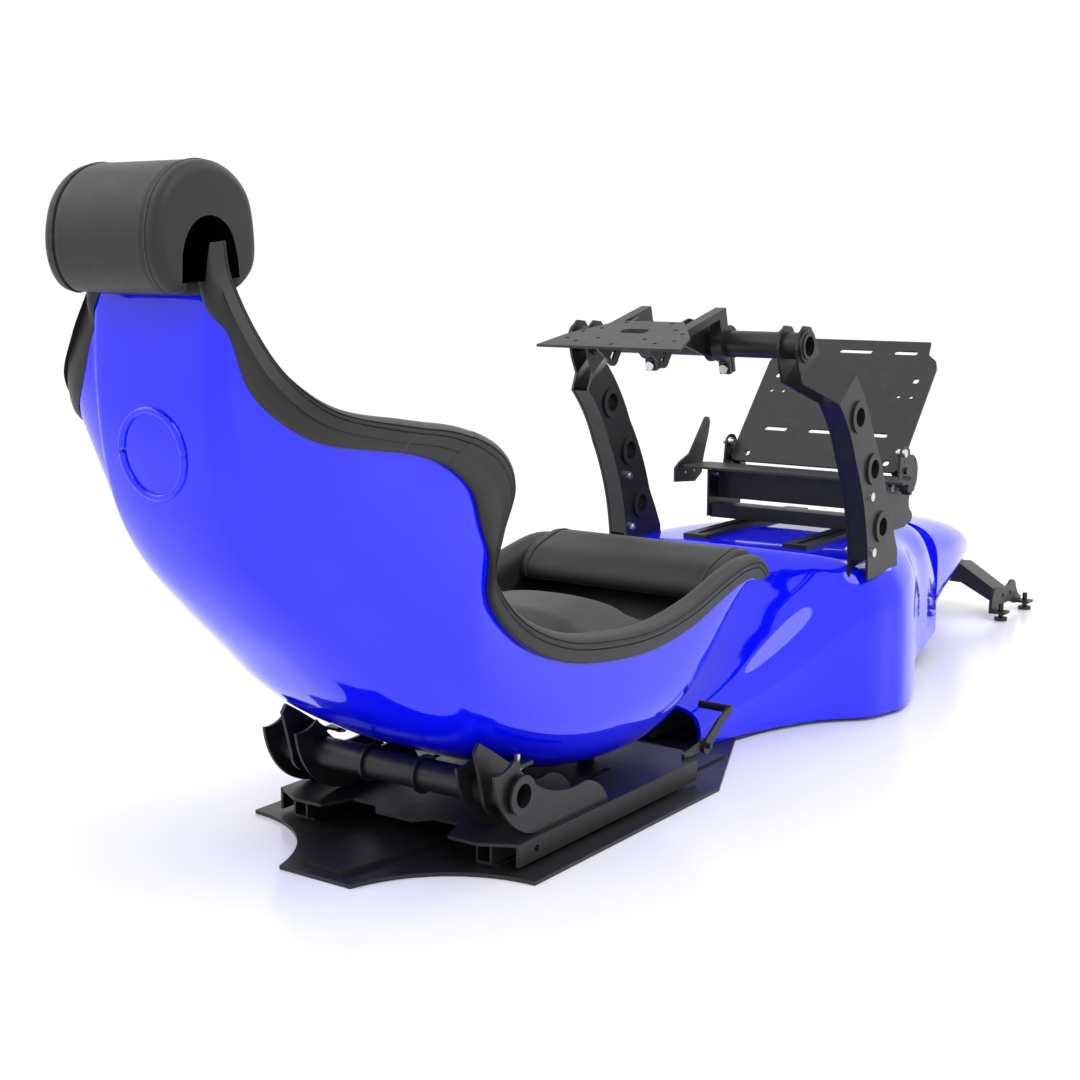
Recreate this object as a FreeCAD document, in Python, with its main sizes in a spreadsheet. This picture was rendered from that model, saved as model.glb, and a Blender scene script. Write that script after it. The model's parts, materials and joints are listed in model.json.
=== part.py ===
import FreeCAD, Part
import math
import os

import Sketcher
from FreeCAD import Placement, Rotation, Vector

# Single-seat racing simulator cockpit: a bucket seat on a sliding carriage, a steering frame
# with a tilting wheel deck, a sliding pedal carriage and a body fairing on a steel floor frame.
# Millimetres. +X is the driver's right, +Y points to the nose, +Z is up, the floor is z = 0.
# Every piece is drawn in chassis coordinates, whose y = 0 is the floor plate's rear corners,
# and its Placement then moves it by datum_y, which centres the whole cockpit on the origin.

doc = FreeCAD.newDocument("racing_cockpit")
sheet = doc.addObject("Spreadsheet::Sheet", "Dimensions")

DIMENSIONS = {
    "datum_y": -738,
    # sheet metal and running clearances
    "floor_thickness": 5,
    "plate_thickness": 4,
    "shell_wall": 6,
    "fairing_wall": 5,
    "slide_gap": 0.3,
    "bearing_gap": 0.05,
    # round tubes and their flanges
    "tube_diameter": 40,
    "tube_bore": 30,
    "flange_diameter": 50,
    "flange_thickness": 4,
    # seat carriage
    "pivot_y": 24,
    "pivot_z": 98,
    "carriage_half_width": 195,
    "carriage_rear_y": 14,
    "carriage_length": 456,
    "carriage_top_z": 39,
    "carriage_flange_drop": 29,
    "runner_x": 150,
    "runner_size": 24,
    "track_length": 560,
    "gusset_outer_x": 188,
    "gusset_inner_x": 132,
    "seat_bracket_x": 158,
    # steering frame
    "arm_outer_x": 242,
    "arm_width": 35,
    "cross_tube_y": 730,
    "cross_tube_z": 602,
    "arm_lean": 39,
    # wheel deck
    "wheel_deck_tilt": 14.4,
    "wheel_plate_rise": 56.4,
    "wheel_bracket_x": 46,
    "wheel_clamp_x": 66,
    # front body
    "deck_z": 259,
    "rail_height": 7,
    # pedal carriage and pedal plate
    "pedal_side_x": 172,
    "pedal_plate_tilt": 41.4,
    "pedal_hinge_y": 1188,
    "pedal_hinge_z": 366,
    "shelf_half_width": 214,
    "rod_diameter": 16,
    # front leg
    "leg_y": 1810,
    "leg_depth": 56,
    "leg_half_span": 130,
    "foot_stud": 10,
    "foot_pad": 26,
    # seat upholstery
    "pad_clearance": 2,
    "headrest_half_width": 86,
    # fasteners
    "bolt_head": 14,
    "bolt_shank": 8,
}

for row, (alias, value) in enumerate(DIMENSIONS.items(), start=1):
    sheet.set(f"A{row}", alias.replace("_", " "))
    sheet.set(f"B{row}", str(value))
    sheet.setAlias(f"B{row}", alias)
doc.recompute()

parts = []


def size(alias):
    """A driving dimension, read from the sheet."""
    return float(getattr(sheet, alias))


def cell(alias):
    """A driving dimension, as an expression that a property can be bound to."""
    return f"Dimensions.{alias}"


def finish(item, label):
    """Names a sub-part and moves it from chassis coordinates to the cockpit's origin."""
    item.Label = label
    own_y = dict(item.ExpressionEngine).get(".Placement.Base.y", "0")
    item.setExpression("Placement.Base.y", f"{own_y} + {cell('datum_y')}")
    parts.append(item)
    return item


# ---------------------------------------------------------------- sketch-based pieces

def new_sketch(body, role, lift):
    """A sketch on one of the body's own origin planes, lifted along the plane's normal."""
    sketch = body.newObject("Sketcher::SketchObject", body.Name + "_sketch")
    plane = next(item for item in body.Origin.OriginFeatures if item.Role == role)
    sketch.AttachmentSupport = [(plane, "")]
    sketch.MapMode = "FlatFace"
    sketch.setExpression("AttachmentOffset.Base.z", lift)
    return sketch


def draw_outline(sketch, path):
    """A closed outline: a corner is (a, b), and ("arc", middle, corner) bends to that corner."""
    corners = [item[2] if item[0] == "arc" else item for item in path]
    for index, item in enumerate(path):
        start = Vector(*corners[index - 1], 0)
        end = Vector(*corners[index], 0)
        if item[0] == "arc":
            sketch.addGeometry(Part.Arc(start, Vector(*item[1], 0), end), False)
        else:
            sketch.addGeometry(Part.LineSegment(start, end), False)


def draw_hole(sketch, centre, diameter):
    """A round hole whose diameter is bound to the expression."""
    index = sketch.addGeometry(Part.Circle(Vector(*centre, 0), Vector(0, 0, 1), 5), False)
    constraint = sketch.addConstraint(Sketcher.Constraint("Diameter", index, 10))
    sketch.setExpression(f"Constraints[{constraint}]", diameter)


def draw_slot(sketch, start, end, width):
    """A slot with round ends between two centres."""
    first = Vector(*start, 0)
    second = Vector(*end, 0)
    along = (second - first).normalize() * (width / 2)
    across = Vector(-along.y, along.x, 0)
    sketch.addGeometry(Part.LineSegment(first + across, second + across), False)
    sketch.addGeometry(Part.Arc(second + across, second + along, second - across), False)
    sketch.addGeometry(Part.LineSegment(second - across, first - across), False)
    sketch.addGeometry(Part.Arc(first - across, first - along, first + across), False)


def flat_plate(label, role, lift, outline, thickness, holes=(), slots=(), backward=False):
    """A plate cut from sheet: an outline with holes and slots, padded to its thickness."""
    body = doc.addObject("PartDesign::Body", label)
    sketch = new_sketch(body, role, lift)
    draw_outline(sketch, outline)
    for centre, diameter in holes:
        draw_hole(sketch, centre, diameter)
    for start, end, width in slots:
        draw_slot(sketch, start, end, width)
    pad = body.newObject("PartDesign::Pad", label + "_pad")
    pad.Profile = sketch
    pad.setExpression("Length", thickness)
    pad.Reversed = backward
    return body


def side_plate(label, side, face_x, outline, thickness, holes=(), slots=()):
    """An upright plate in the YZ plane; face_x is its outer face, and it pads inward."""
    lift = f"{side} * ({face_x})"
    return flat_plate(label, "YZ_Plane", lift, outline, thickness, holes, slots, side > 0)


def box(name, corner, extents):
    """A Part::Box bound to expressions: its low corner and its length, width and height."""
    item = doc.addObject("Part::Box", name)
    for axis, expression in zip("xyz", corner):
        item.setExpression(f"Placement.Base.{axis}", expression)
    for field, expression in zip(("Length", "Width", "Height"), extents):
        item.setExpression(field, expression)
    return item


def cylinder(name, centre, axis, diameter, length):
    """A Part::Cylinder bound to expressions, starting at centre and running along the axis."""
    item = doc.addObject("Part::Cylinder", name)
    item.Placement = Placement(Vector(), Rotation(Vector(0, 0, 1), Vector(*axis)))
    for field, expression in zip("xyz", centre):
        item.setExpression(f"Placement.Base.{field}", expression)
    item.setExpression("Radius", f"({diameter}) / 2")
    item.setExpression("Height", length)
    return item


def cut(name, base, tool):
    item = doc.addObject("Part::Cut", name)
    item.Base = base
    item.Tool = tool
    return item


def fuse(name, items):
    item = doc.addObject("Part::MultiFuse", name)
    item.Shapes = items
    return item


def group(name, items):
    """Identical loose pieces kept together as separate solids."""
    item = doc.addObject("Part::Compound", name)
    item.Links = items
    return item


def tube(name, low, axis, outer, bore, length):
    """A round tube made as one cylinder cut from another."""
    outside = cylinder(name + "_outside", low, axis, outer, length)
    inside = cylinder(name + "_inside", low, axis, bore, length)
    return cut(name, outside, inside)


def ring(name, centre_y, centre_z, low_x, outer, bore, length):
    """A ring or tube lying along X."""
    return tube(name, (low_x, centre_y, centre_z), (1, 0, 0), outer, bore, length)


def shape_part(label, shape):
    """A free-form sub-part made with Part's own functions."""
    item = doc.addObject("Part::Feature", label)
    item.Shape = shape
    return finish(item, label)


SIDES = (("right", 1), ("left", -1))

# ---------------------------------------------------------------- floor frame


def mirrored(half):
    """A closed outline symmetric about x = 0 from its right half, listed rear to front."""
    def flip(point):
        return (-point[0], point[1])

    path = list(half)
    left = []
    corners = [item[2] if item[0] == "arc" else item for item in half]
    for index in range(len(half) - 1, -1, -1):
        following = half[index + 1] if index + 1 < len(half) else None
        corner = flip(corners[index])
        if following is not None and following[0] == "arc":
            left.append(("arc", flip(following[1]), corner))
        else:
            left.append(corner)
    return path + left


FLOOR_HALF = [
    (57, -134),
    ("arc", (118, -40), (229, 0)),
    (230, 442),
    (129, 673),
    (152, 778),
    (167, 862),
    (160, 1000),
]
floor_plate = flat_plate("floor_plate", "XY_Plane", "0", mirrored(FLOOR_HALF), cell("floor_thickness"))
finish(floor_plate, "floor_plate")

TUNNEL_FRONT_Y = 560
tunnel = flat_plate(
    "floor_tunnel", "XY_Plane", cell("floor_thickness"),
    [(-30, -118), (30, -118), (62, 60), (62, TUNNEL_FRONT_Y), (-62, TUNNEL_FRONT_Y), (-62, 60)],
    "6",
)
finish(tunnel, "floor_tunnel")

for side_name, side in SIDES:
    low_x = f"{side} * {cell('runner_x')} - {cell('runner_size')} / 2 - 4"
    rail = box(
        f"seat_track_{side_name}_rail",
        (low_x, "12", cell("floor_thickness")),
        (f"{cell('runner_size')} + 8", cell("track_length"), "4"),
    )
    finish(rail, f"seat_track_{side_name}")

# The box-section spine carries the front leg and runs inside the fairing.
SPINE_REAR_Y = 575
spine_outside = box("spine_outside", ("-40", str(SPINE_REAR_Y), "12"), ("80", "400", "28"))
spine_inside = box("spine_inside", ("-36", str(SPINE_REAR_Y), "16"), ("72", "400", "20"))
nose_bar = box("nose_bar", ("-24", "960", "120"), ("48", "846", "22"))
leg_stud = box("leg_stud", ("-20", "1786", "100"), ("40", "20", "22"))
spine_tube = cut("spine_tube", spine_outside, spine_inside)
spine_blocks = [
    box(f"spine_block_{index}", ("-60", str(y), cell("floor_thickness")), ("120", "40", "7"))
    for index, y in enumerate((620, 900))
]
# The posts and the cross beam carry the steering arms and the pedal rails.
arm_inner = f"({cell('arm_outer_x')} - {cell('arm_width')})"
beam = box("arm_beam", (f"0 - {arm_inner}", "915", "200"), (f"2 * {arm_inner}", "66", "28"))
posts = [
    box(f"arm_post_{side_name}", (str(side * 24 - 12), "925", "40"), ("24", "46", "160"))
    for side_name, side in SIDES
]
finish(fuse("chassis_spine", [spine_tube, nose_bar, leg_stud, beam] + spine_blocks + posts), "chassis_spine")

# ---------------------------------------------------------------- seat carriage

CARRIAGE_HALF = [
    (30, 0),
    (48, 22),
    (86, 22),
    (104, -22),
    (150, -22),
    (191, 0),
]


def carriage_outline():
    """Notched rear edge, straight sides and a plain front edge."""
    rear = size("carriage_rear_y")
    front = rear + size("carriage_length")
    right = [(x, rear + y) for x, y in CARRIAGE_HALF]
    left = [(-x, y) for x, y in reversed(right)]
    return right + [(191, front - 30), (150, front), (-150, front), (-191, front - 30)] + left


carriage_plate = flat_plate(
    "carriage_plate_sheet", "XY_Plane", f"{cell('carriage_top_z')} - {cell('plate_thickness')}",
    carriage_outline(), cell("plate_thickness"),
    holes=[((x, y), "9") for x in (-60, 60) for y in (120, 260)],
    slots=[((x, 150), (x, 330), 11) for x in (-115, 115)],
)
flanges = []
for side_name, side in SIDES:
    low_x = f"{side} * ({cell('carriage_half_width')} - 2) - 2"
    low_z = f"{cell('carriage_top_z')} - {cell('carriage_flange_drop')}"
    flange = box(
        f"carriage_flange_{side_name}",
        (low_x, cell("carriage_rear_y"), low_z),
        ("4", f"{cell('carriage_length')} - 30", cell("carriage_flange_drop")),
    )
    hole = cylinder(
        f"carriage_flange_hole_{side_name}",
        (f"{low_x} - 1", "52", f"{low_z} + 14"), (1, 0, 0), "9", "6",
    )
    flanges.append(cut(f"carriage_flange_{side_name}_drilled", flange, hole))
finish(fuse("carriage_plate", [carriage_plate] + flanges), "carriage_plate")

runners = []
for side_name, side in SIDES:
    low_x = f"{side} * {cell('runner_x')} - {cell('runner_size')} / 2"
    low_z = f"{cell('floor_thickness')} + 4 + {cell('slide_gap')}"
    height = f"{cell('carriage_top_z')} - {cell('plate_thickness')} - ({low_z})"
    outside = box(
        f"runner_outside_{side_name}", (low_x, "4", low_z), (cell("runner_size"), "440", height)
    )
    inside = box(
        f"runner_inside_{side_name}",
        (f"{low_x} + 3", "4", f"{low_z} + 3"),
        (f"{cell('runner_size')} - 6", "440", f"{height} - 6"),
    )
    runners.append(cut(f"runner_{side_name}", outside, inside))
finish(group("carriage_runners", runners), "carriage_runners")

PIVOT_HALF_LENGTH = 196
pivot_tube = ring(
    "pivot_tube_body", cell("pivot_y"), cell("pivot_z"), str(-PIVOT_HALF_LENGTH),
    cell("tube_diameter"), cell("tube_bore"), str(2 * PIVOT_HALF_LENGTH),
)
collars = []
for index, centre_x in enumerate((-PIVOT_HALF_LENGTH + 1.5, -43, 43, PIVOT_HALF_LENGTH - 1.5)):
    collars.append(ring(
        f"pivot_collar_{index}", cell("pivot_y"), cell("pivot_z"), str(centre_x - 1.5),
        cell("flange_diameter"), cell("tube_diameter"), "3",
    ))
finish(fuse("pivot_tube_welded", [pivot_tube] + collars), "pivot_tube")

GUSSET_OUTLINE = [
    ("arc", (-2, 133), (16, 142)),
    ("arc", (62, 100), (168, 78)),
    ("arc", (200, 66), (222, 39)),
    (70, 39),
    ("arc", (8, 66), (-24, 132)),
]
for side_name, side in SIDES:
    pair = []
    for face in ("gusset_outer_x", "gusset_inner_x"):
        pair.append(side_plate(
            f"{face}_{side_name}", side, cell(face), GUSSET_OUTLINE, cell("plate_thickness"),
            holes=[((24, 98), cell("tube_diameter"))],
        ))
    finish(group(f"pivot_gusset_{side_name}", pair), f"pivot_gusset_{side_name}")

# The slide latch is a hand lever on a cross pin under the front of the seat.
latch_arm = side_plate(
    "latch_arm", 1, "184",
    [(478, 44), ("arc", (486, 34), (498, 40)), (530, 66), (560, 80), (556, 90), (522, 78), (486, 56)],
    cell("plate_thickness"), holes=[((488, 46), "8.1")],
)
latch_grip = cylinder("latch_grip", ("184", "556", "84.5"), (-1, 0, 0), "12", "52")
finish(fuse("slide_latch", [latch_arm, latch_grip]), "slide_latch")
latch_pin = cylinder("latch_pin", ("170", "488", "46"), (1, 0, 0), "8", "20")
ear = side_plate(
    "latch_ear", 1, "179.7",
    [(430, 39), (500, 39), (500, 50), ("arc", (488, 56), (476, 52)), (430, 46)],
    cell("plate_thickness"), holes=[((488, 46), "8")],
)
finish(fuse("latch_bracket", [ear, latch_pin]), "latch_bracket")

buffers = [
    cylinder(f"seat_buffer_{side_name}", (str(side * 60), "360", cell("carriage_top_z")),
             (0, 0, 1), "26", "9")
    for side_name, side in SIDES
]
finish(group("seat_buffers", buffers), "seat_buffers")

# ---------------------------------------------------------------- seat shell and upholstery

# Each station is one cross-section of the bucket, from the head end to the knee end:
# the centre of its outer skin (y, z), and its right rim (x, y, z).
STATIONS = [
    ((-353, 748), (78, -342, 750)),
    ((-359, 705), (88, -344, 712)),
    ((-364, 650), (120, -343, 658)),
    ((-365, 585), (152, -332, 612)),
    ((-362, 520), (174, -288, 574)),
    ((-350, 455), (185, -205, 552)),
    ((-318, 395), (190, -112, 536)),
    ((-262, 335), (194, -44, 506)),
    ((-195, 276), (195, -18, 462)),
    ((-125, 217), (194, -34, 412)),
    ((-50, 168), (192, -40, 356)),
    ((40, 122), (191, 20, 296)),
    ((130, 86), (191, 112, 256)),
    ((220, 61), (191, 220, 238)),
    ((320, 50), (190, 322, 234)),
    ((410, 54), (188, 420, 246)),
    ((478, 90), (186, 500, 266)),
    ((532, 160), (184, 566, 280)),
    ((570, 222), (182, 612, 280)),
    ((596, 258), (181, 634, 266)),
]
# How square each section is: 2 is an ellipse.
SQUARENESS = [2.6, 2.5, 2.4, 2.3, 2.3, 2.3, 2.4, 2.5, 2.7, 2.9, 3.1] + [3.2] * 9
# How far the panel behind the driver's back stands out from the wings beside it.
HUMP_DEPTH = [6, 10, 15, 18, 18, 12, 6] + [0] * 13
HUMP_EDGE = (80, 100)


def station_normal(index):
    """The unit normal of the seat's centre line at a station, pointing to the driver."""
    before = STATIONS[max(index - 1, 0)][0]
    after = STATIONS[min(index + 1, len(STATIONS) - 1)][0]
    along = Vector(0, after[0] - before[0], after[1] - before[1]).normalize()
    return Vector(0, -along.z, along.y)


def skin_point(index, turn, outset):
    """A point on the bucket: turn runs from -90 (left rim) through 0 (centre) to 90 degrees."""
    (centre_y, centre_z), (rim_x, rim_y, rim_z) = STATIONS[index]
    angle = math.radians(abs(turn))
    bend = 2 / SQUARENESS[index]
    across = math.sin(angle) ** bend
    rise = 1 - max(math.cos(angle), 0) ** bend
    base = Vector(0, centre_y, centre_z)
    toward_rim = Vector(0, rim_y, rim_z) - base
    step = min(max((across * rim_x - HUMP_EDGE[0]) / (HUMP_EDGE[1] - HUMP_EDGE[0]), 0), 1)
    hump = HUMP_DEPTH[index] / toward_rim.Length
    rise = rise * (1 - hump) + hump * step * step * (3 - 2 * step)
    point = base + toward_rim * rise - station_normal(index) * (outset * (1 - rise))
    point.x = math.copysign(across * (rim_x + outset), turn)
    return point


def curve_through(points):
    curve = Part.BSplineCurve()
    curve.interpolate(points)
    return curve.toShape()


SECTION_TURNS = [7.5 * step for step in range(-12, 13)]


def shell_section(index):
    """One cross-section of the shell, as points on its outer skin and on its inner skin."""
    outer = [skin_point(index, turn, 0) for turn in SECTION_TURNS]
    inner = [skin_point(index, turn, -size("shell_wall")) for turn in SECTION_TURNS]
    return outer, inner


def section_wire(section):
    """The closed wire of a section: one curve, a straight edge, the other curve back."""
    first, second = section
    return Part.Wire([
        curve_through(first),
        Part.makeLine(first[-1], second[-1]),
        curve_through(second[::-1]),
        Part.makeLine(second[0], first[0]),
    ])


def section_cap(section):
    """The end face between a section's two curves."""
    first, second = section
    return Part.makeRuledSurface(curve_through(first), curve_through(second))


def outward(solid):
    if solid.Volume < 0:
        solid.reverse()
    return solid


def lofted_sections(sections):
    """A solid through sections that need not be flat, closed by a ruled face at each end."""
    skin = Part.makeLoft([section_wire(section) for section in sections], False, True)
    faces = skin.Faces + [section_cap(sections[0]), section_cap(sections[-1])]
    shell = Part.makeShell(faces)
    shell.sewShape()
    return outward(Part.makeSolid(shell))


def lofted(wires, ruled=False):
    """A solid through flat wires."""
    return outward(Part.makeLoft(wires, True, ruled))


shape_part("seat_shell", lofted_sections([shell_section(index) for index in range(len(STATIONS))]))

# How far up each section the leather's lower edge lies, station by station.
APRON = [0.5, 0.4, 0.4, 0.35, 0.6, 0.82, 0.87, 0.85, 0.80, 0.90, 0.95] + [0.95] * 9
# The roll over the rim, from the rim's outer edge: (across, away from the shell).
ROLL_PROFILE = [(2.5, 1.5), (-18, 1.5), (-18, 18), (-10, 24), (6, 24), (12, 16)]
# How thick the roll is at each station, as a share of the profile.
ROLL_SHARE = [0.35, 0.35, 0.35, 0.4, 0.65] + [1] * 15


def trim_section(index, side):
    """The leather's cross-section: an apron outside the shell and a roll over its rim."""
    (centre_y, centre_z), (rim_x, rim_y, rim_z) = STATIONS[index]
    low_turn = math.degrees(math.acos((1 - APRON[index]) ** (SQUARENESS[index] / 2)))
    lift = Vector(0, rim_y - centre_y, rim_z - centre_z).normalize()
    rim = Vector(rim_x, rim_y, rim_z)
    turns = [low_turn + (90 - low_turn) * share for share in (0, 0.2, 0.45, 0.75)]
    path = [skin_point(index, turn, 2.5) for turn in turns]
    path += [
        rim + Vector(across, 0, 0) + lift * max(rise * ROLL_SHARE[index], 1.5)
        for across, rise in ROLL_PROFILE
    ]
    path += [skin_point(index, turn, 8) for turn in reversed(turns)]
    flat_normal = Vector(0, -lift.z, lift.y)
    base = Vector(0, centre_y, centre_z)
    path = [point - flat_normal * (point - base).dot(flat_normal) for point in path]
    path = [Vector(side * point.x, point.y, point.z) for point in path]
    return Part.makePolygon(path + [path[0]])


for side_name, side in SIDES:
    sections = [trim_section(index, side) for index in range(1, len(STATIONS))]
    shape_part(f"rim_trim_{side_name}", lofted(sections, ruled=True))


def pad_section(index, fill, half_turn, crown):
    """A cushion's cross-section: it lies in the bucket and is filled up to a crowned top."""
    clearance = -size("shell_wall") - size("pad_clearance")
    turns = [half_turn * step / 10 for step in range(-10, 11)]
    lower = [skin_point(index, turn, clearance) for turn in turns]
    left = lower[0]
    right = lower[-1]
    normal = station_normal(index)
    raise_by = normal * fill
    upper = []
    for step in range(9):
        share = step / 8
        chord = right + (left - right) * share
        upper.append(chord + raise_by + normal * (crown * math.sin(math.pi * share)))
    return lower, upper[::-1]


def pad(label, profile):
    """A cushion lofted through (station, thickness at its edge, half turn, crown) rows."""
    shape_part(label, lofted_sections([pad_section(*row) for row in profile]))


pad("back_cushion", [(2, 20, 22, 4), (3, 22, 23, 4), (4, 24, 24, 5), (5, 23, 25, 6)])
pad("lumbar_cushion", [(6, 18, 36, 8), (7, 18, 38, 8), (8, 18, 38, 8), (9, 16, 38, 8)])
pad("seat_cushion", [
    (10, 24, 46, 8), (11, 54, 52, 12), (12, 92, 58, 14), (13, 112, 62, 14),
    (14, 117, 62, 14), (15, 120, 62, 14), (16, 112, 62, 14),
])


# The knee roll closes the seat's front edge, rounded over the end of the bucket.
KNEE_OUTLINE = [
    (512, 248),
    ("arc", (530, 288), (580, 305)),
    ("arc", (640, 312), (664, 276)),
    ("arc", (662, 262), (648, 262)),
    (618, 272),
    (592, 269),
    (560, 241),
]
knee_roll = side_plate("knee_roll_body", 1, "160", KNEE_OUTLINE, "320")
finish(knee_roll, "knee_roll")

HEADREST_OUTLINE = [
    (-382, 700),
    (-382, 772),
    (-314, 772),
    (-314, 700),
    (-300, 700),
    ("arc", (-282, 716), (-284, 750)),
    ("arc", (-292, 812), (-350, 832)),
    ("arc", (-408, 812), (-424, 760)),
    ("arc", (-424, 722), (-402, 700)),
]
headrest = side_plate(
    "headrest_body", 1, cell("headrest_half_width"), HEADREST_OUTLINE,
    f"2 * {cell('headrest_half_width')}",
)
finish(headrest, "headrest")

TAB_BOLT_X = 145
TAB_BOLT_Y = 80
bracket_bolts = []
for side_name, side in SIDES:
    ear = side_plate(
        f"seat_bracket_plate_{side_name}", side, cell("seat_bracket_x"),
        [
            (-6, 98), ("arc", (24, 68), (54, 98)), (62, 113), (96, 113), (96, 118),
            (60, 118), (12, 150), (-14, 166), (-22, 156),
        ],
        "5", holes=[((24, 98), f"{cell('tube_diameter')} + 2 * {cell('bearing_gap')}")],
    )
    low_x = 136 if side > 0 else -153
    tab = box(f"seat_bracket_tab_{side_name}", (str(low_x), "62", "114"), ("17", "34", "4"))
    hole = cylinder(
        f"seat_tab_hole_{side_name}", (str(side * TAB_BOLT_X), str(TAB_BOLT_Y), "110"),
        (0, 0, 1), f"{cell('bolt_shank')} + 0.4", "12",
    )
    drilled = cut(f"seat_tab_drilled_{side_name}", tab, hole)
    finish(fuse(f"seat_bracket_{side_name}", [ear, drilled]), f"seat_bracket_{side_name}")
    centre = (str(side * TAB_BOLT_X), str(TAB_BOLT_Y))
    head = cylinder(
        f"seat_bolt_head_{side_name}", centre + ("109",), (0, 0, 1), cell("bolt_head"), "5"
    )
    shank = cylinder(
        f"seat_bolt_shank_{side_name}", centre + ("109",), (0, 0, 1), cell("bolt_shank"), "19"
    )
    bracket_bolts.append(fuse(f"seat_bolt_{side_name}", [head, shank]))
finish(group("seat_bracket_bolts", bracket_bolts), "seat_bracket_bolts")

# ---------------------------------------------------------------- steering frame

# The arm's flat lower part ends at a fold, from FOLD[0] to FOLD[1]. Above it the plate leans
# inward, and then its head stands upright again around the cross tube.
FOLD = ((767, 515), (823, 556))
ARM_OUTLINE = [
    (888, 229),
    (886, 262),
    ("arc", (866, 350), (831, 424)),
    ("arc", (802, 476), FOLD[0]),
    FOLD[1],
    ("arc", (866, 506), (896, 456)),
    ("arc", (938, 388), (962, 330)),
    (980, 300),
    (1000, 262),
    (1000, 229),
]
LEAN_OUTLINE = [FOLD[0], (721, 547), (777, 588), FOLD[1]]
HEAD_OUTLINE = [
    (721, 547), (708, 574), (702, 598), (708, 620), (724, 632), (744, 630), (760, 614),
    (777, 588),
]
RING_CENTRES = [(835, 491), (894, 405), (932, 309)]
BOLT_CENTRES = [(888, 362), (900, 272)]


def leaning_sheet(side, face_x, outline, leans):
    """A plate above the fold, extruded along X; leans gives each corner's share of the lean."""
    lean = size("arm_lean")
    corners = [Vector(side * (face_x - lean * share), y, z) for (y, z), share in zip(outline, leans)]
    face = Part.Face(Part.makePolygon(corners + [corners[0]]))
    return face.extrude(Vector(-side * size("plate_thickness"), 0, 0))


for side_name, side in SIDES:
    outer_face = size("arm_outer_x")
    inner_face = outer_face - size("arm_width") + size("plate_thickness")
    for face_name, face_x in (("outer", outer_face), ("inner", inner_face)):
        holes = [(centre, cell("tube_diameter")) for centre in RING_CENTRES]
        holes += [(centre, f"{cell('bolt_shank')} + 0.4") for centre in BOLT_CENTRES]
        name = f"arm_{side_name}_{face_name}_plate"
        flat = side_plate(
            name + "_flat", side, str(face_x), ARM_OUTLINE, cell("plate_thickness"), holes=holes
        )
        upper = doc.addObject("Part::Feature", name + "_upper")
        leaning = leaning_sheet(side, face_x, LEAN_OUTLINE, (0, 1, 1, 0))
        upper.Shape = leaning.fuse(leaning_sheet(side, face_x, HEAD_OUTLINE, [1] * 8))
        tube_hole = cylinder(
            name + "_hole", ("-300", cell("cross_tube_y"), cell("cross_tube_z")), (1, 0, 0),
            cell("tube_diameter"), "600",
        )
        finish(cut(name + "_bored", fuse(name + "_folded", [flat, upper]), tube_hole), name)

    cover = side_plate(
        f"arm_{side_name}_cover_body", side,
        f"{cell('arm_outer_x')} - {cell('plate_thickness')}",
        [
            (887, 262), ("arc", (867, 350), (832, 424)), ("arc", (803, 476), (770, 514)),
            (774, 518), ("arc", (807, 479), (836, 426)), ("arc", (871, 352), (891, 262)),
        ],
        f"{cell('arm_width')} - 2 * {cell('plate_thickness')}",
    )
    finish(cover, f"arm_{side_name}_cover")

    spacers = []
    for index, (centre_y, centre_z) in enumerate(RING_CENTRES):
        spacer_name = f"arm_{side_name}_spacer_{index}"
        inner_x = f"{cell('arm_outer_x')} - {cell('arm_width')}"
        low_x = inner_x if side > 0 else f"0 - {cell('arm_outer_x')}"
        flange = cell("flange_thickness")
        barrel = cylinder(
            spacer_name + "_barrel", (low_x, str(centre_y), str(centre_z)), (1, 0, 0),
            cell("tube_diameter"), cell("arm_width"),
        )
        low_flange = cylinder(
            spacer_name + "_low", (f"{low_x} - {flange}", str(centre_y), str(centre_z)),
            (1, 0, 0), cell("flange_diameter"), flange,
        )
        high_flange = cylinder(
            spacer_name + "_high", (f"{low_x} + {cell('arm_width')}", str(centre_y), str(centre_z)),
            (1, 0, 0), cell("flange_diameter"), flange,
        )
        bore = cylinder(
            spacer_name + "_bore", (f"{low_x} - 10", str(centre_y), str(centre_z)), (1, 0, 0),
            cell("tube_bore"), f"{cell('arm_width')} + 20",
        )
        solid = fuse(spacer_name + "_solid", [barrel, low_flange, high_flange])
        spacers.append(cut(spacer_name, solid, bore))
    finish(group(f"arm_{side_name}_spacers", spacers), f"arm_{side_name}_spacers")


def bolt(name, side, face_x, centre, grip):
    """A bolt along X with its round head on the outer face and a nut beyond the grip."""
    centre_y, centre_z = (str(value) for value in centre)
    axis = (-side, 0, 0)
    shank_length = f"{grip} + 14"
    head = cylinder(
        name + "_head", (f"{side} * ({face_x})", centre_y, centre_z), (side, 0, 0),
        cell("bolt_head"), "5",
    )
    shank = cylinder(
        name + "_shank", (f"{side} * ({face_x} + 5)", centre_y, centre_z), axis,
        cell("bolt_shank"), shank_length,
    )
    nut = cylinder(
        name + "_nut", (f"{side} * ({face_x} - ({grip}))", centre_y, centre_z), axis,
        cell("bolt_head"), "6",
    )
    return fuse(name, [head, shank, nut])


arm_bolts = [
    bolt(f"arm_bolt_{side_name}_{index}", side, cell("arm_outer_x"), centre, cell("arm_width"))
    for side_name, side in SIDES
    for index, centre in enumerate(BOLT_CENTRES)
]
finish(group("arm_bolts", arm_bolts), "arm_bolts")

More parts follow.
